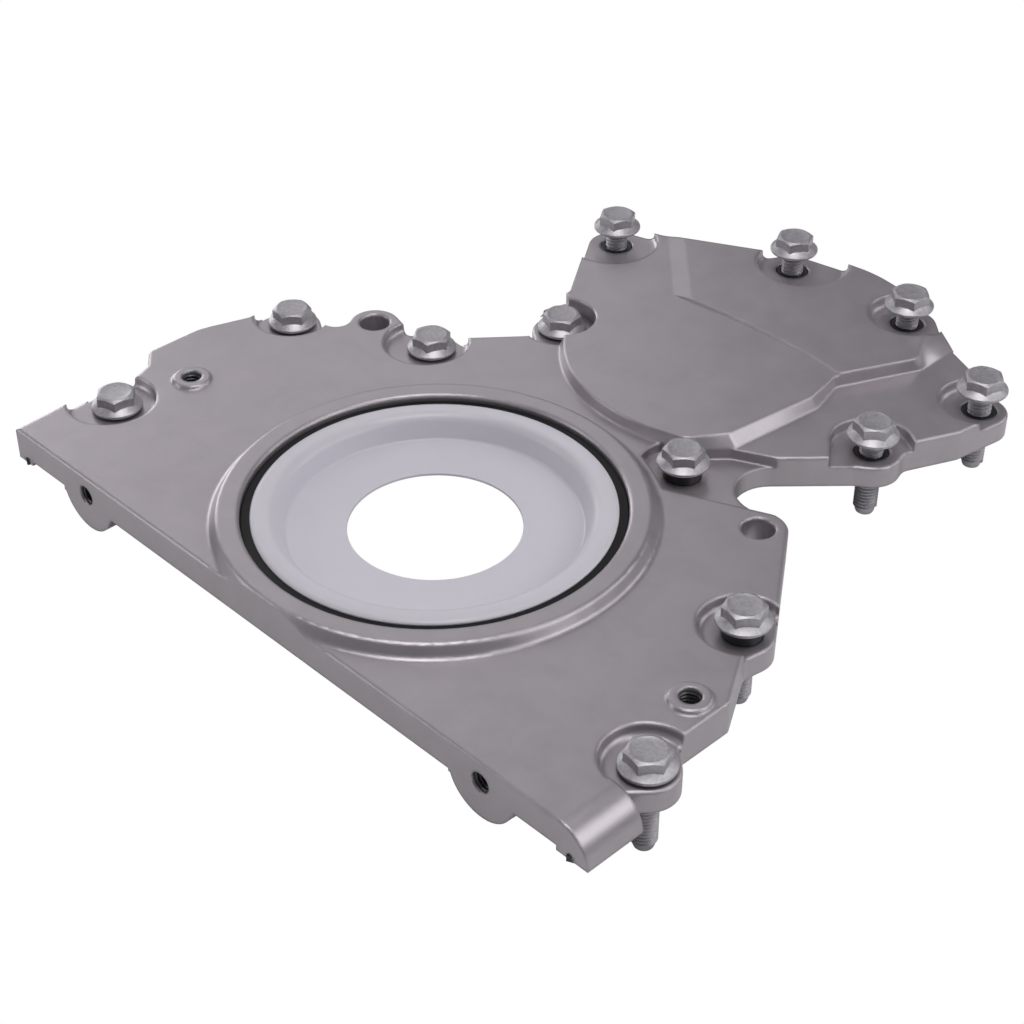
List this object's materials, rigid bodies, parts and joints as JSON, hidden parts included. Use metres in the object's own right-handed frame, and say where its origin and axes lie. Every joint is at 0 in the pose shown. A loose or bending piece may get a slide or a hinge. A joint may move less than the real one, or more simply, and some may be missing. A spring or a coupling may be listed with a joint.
{
  "type": "crankshaft seal housing",
  "caption": "Cast aluminium cover with a rotary crankshaft seal, white fitting sleeve, gasket bead and captive flange bolts.",
  "frame": {"origin": "on the crankshaft's axis, in the mounting face that meets the engine block", "axes": "+Z out of the engine along the crankshaft, +X along the oil pan rail, +Y away from the rail"},
  "size_m": [0.2698, 0.2762, 0.048],
  "materials": {
    "cast_aluminium": "fine bead-blasted die casting",
    "bolt_coating": "zinc flake coating",
    "retainer_rubber": "moulded",
    "seal_rubber": "moulded",
    "case_steel": "pressed",
    "lip_ptfe": "filled PTFE",
    "sleeve_plastic": "moulded, slightly translucent",
    "gasket_rubber": "moulded"
  },
  "bodies": {
    "root": {"cover_casting": "cast_aluminium", "seal_jacket": "seal_rubber", "seal_case": "case_steel", "seal_lip": "lip_ptfe", "fitting_sleeve": "sleeve_plastic", "perimeter_gasket": "gasket_rubber", "bolt_01": "bolt_coating", "bolt_02": "bolt_coating", "bolt_03": "bolt_coating", "bolt_04": "bolt_coating", "bolt_05": "bolt_coating", "bolt_06": "bolt_coating", "bolt_07": "bolt_coating", "bolt_08": "bolt_coating", "bolt_09": "bolt_coating", "bolt_10": "bolt_coating", "bolt_11": "bolt_coating", "bolt_12": "bolt_coating", "bolt_retainer_01": "retainer_rubber", "bolt_retainer_02": "retainer_rubber", "bolt_retainer_03": "retainer_rubber", "bolt_retainer_04": "retainer_rubber", "bolt_retainer_05": "retainer_rubber", "bolt_retainer_06": "retainer_rubber", "bolt_retainer_07": "retainer_rubber", "bolt_retainer_08": "retainer_rubber", "bolt_retainer_09": "retainer_rubber", "bolt_retainer_10": "retainer_rubber", "bolt_retainer_11": "retainer_rubber", "bolt_retainer_12": "retainer_rubber"}
  },
  "joints": []
}
